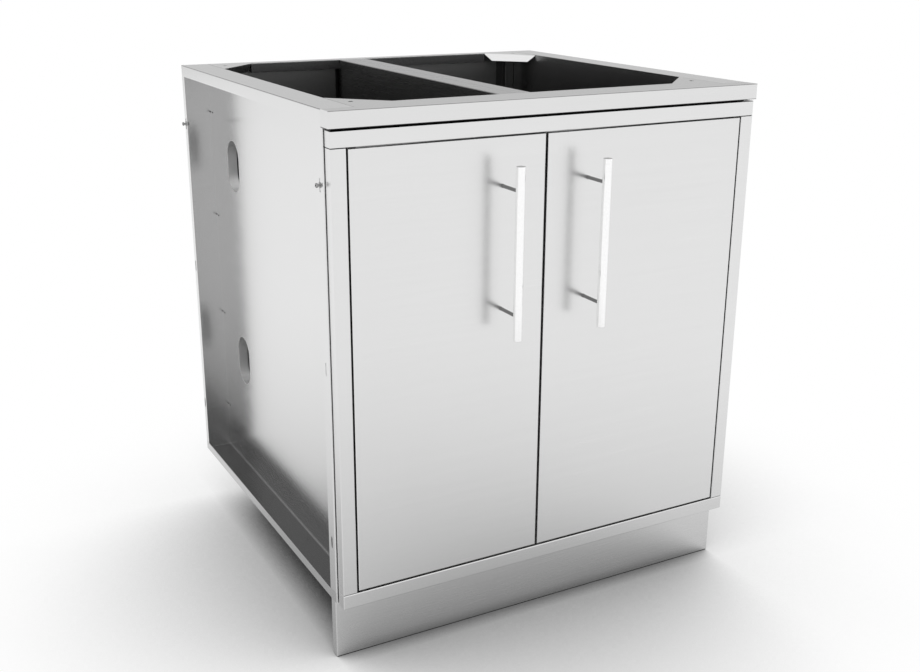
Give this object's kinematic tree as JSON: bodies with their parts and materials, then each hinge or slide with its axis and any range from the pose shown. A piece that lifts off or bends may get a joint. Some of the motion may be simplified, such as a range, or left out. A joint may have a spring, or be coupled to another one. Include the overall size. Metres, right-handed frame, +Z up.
{
  "type": "outdoor kitchen cabinet",
  "caption": "Brushed stainless outdoor kitchen cabinet with an open top, inset doors with bar pulls, recessed sides, a partition and a set-back toe kick on levelling feet.",
  "frame": {"origin": "on the floor, under the middle of the whole object's box", "axes": "+X to the right seen from the front, the doors face -Y, +Z up"},
  "size_m": [0.772, 0.767, 0.8763],
  "materials": {
    "brushed_sheet": "fine brushed stainless sheet, satin",
    "polished_bar": "polished stainless bar",
    "plated_steel": "plated steel of posts, pins, bolts and plates",
    "black_nylon": "moulded dark nylon"
  },
  "bodies": {
    "cabinet": {"left_side_panel": "brushed_sheet", "right_side_panel": "brushed_sheet", "top_front_rail": "brushed_sheet", "top_back_rail": "brushed_sheet", "back_panel": "brushed_sheet", "floor_panel": "brushed_sheet", "partition_left_skin": "brushed_sheet", "partition_right_skin": "brushed_sheet", "face_top_rail": "brushed_sheet", "face_bottom_rail": "brushed_sheet", "face_left_stile": "brushed_sheet", "face_right_stile": "brushed_sheet", "toe_kick": "brushed_sheet", "left_upper_bush": "black_nylon", "left_lower_bush": "black_nylon", "right_upper_bush": "black_nylon", "right_lower_bush": "black_nylon", "left_magnetic_catch": "black_nylon", "right_magnetic_catch": "black_nylon", "front_joining_bolt": "plated_steel", "back_joining_bolt": "plated_steel", "left_front_leg_socket": "black_nylon", "left_back_leg_socket": "black_nylon", "right_front_leg_socket": "black_nylon", "right_back_leg_socket": "black_nylon"},
    "left_door": {"left_door_skin": "brushed_sheet", "left_door_liner": "brushed_sheet", "left_handle_bar": "polished_bar", "left_handle_upper_post": "plated_steel", "left_handle_lower_post": "plated_steel", "left_upper_pivot_pin": "plated_steel", "left_lower_pivot_pin": "plated_steel", "left_strike_plate": "plated_steel"},
    "right_door": {"right_door_skin": "brushed_sheet", "right_door_liner": "brushed_sheet", "right_handle_bar": "polished_bar", "right_handle_upper_post": "plated_steel", "right_handle_lower_post": "plated_steel", "right_upper_pivot_pin": "plated_steel", "right_lower_pivot_pin": "plated_steel", "right_strike_plate": "plated_steel"},
    "left_front_foot": {"left_front_levelling_foot": "black_nylon"},
    "left_back_foot": {"left_back_levelling_foot": "black_nylon"},
    "right_front_foot": {"right_front_levelling_foot": "black_nylon"},
    "right_back_foot": {"right_back_levelling_foot": "black_nylon"}
  },
  "joints": [
    {"name": "left_door_hinge", "type": "hinge", "parent": "cabinet", "child": "left_door", "pos_m": [-0.337, -0.31945, 0.1289], "axis": [0, 0, -1], "range_deg": [0, 105]},
    {"name": "right_door_hinge", "type": "hinge", "parent": "cabinet", "child": "right_door", "pos_m": [0.347, -0.31945, 0.1289], "axis": [0, 0, 1], "range_deg": [0, 105]},
    {"name": "left_front_foot_slide", "type": "slide", "parent": "cabinet", "child": "left_front_foot", "axis": [0, 0, -1], "range_m": [0, 0.025]},
    {"name": "left_back_foot_slide", "type": "slide", "parent": "cabinet", "child": "left_back_foot", "axis": [0, 0, -1], "range_m": [0, 0.025]},
    {"name": "right_front_foot_slide", "type": "slide", "parent": "cabinet", "child": "right_front_foot", "axis": [0, 0, -1], "range_m": [0, 0.025]},
    {"name": "right_back_foot_slide", "type": "slide", "parent": "cabinet", "child": "right_back_foot", "axis": [0, 0, -1], "range_m": [0, 0.025]}
  ]
}
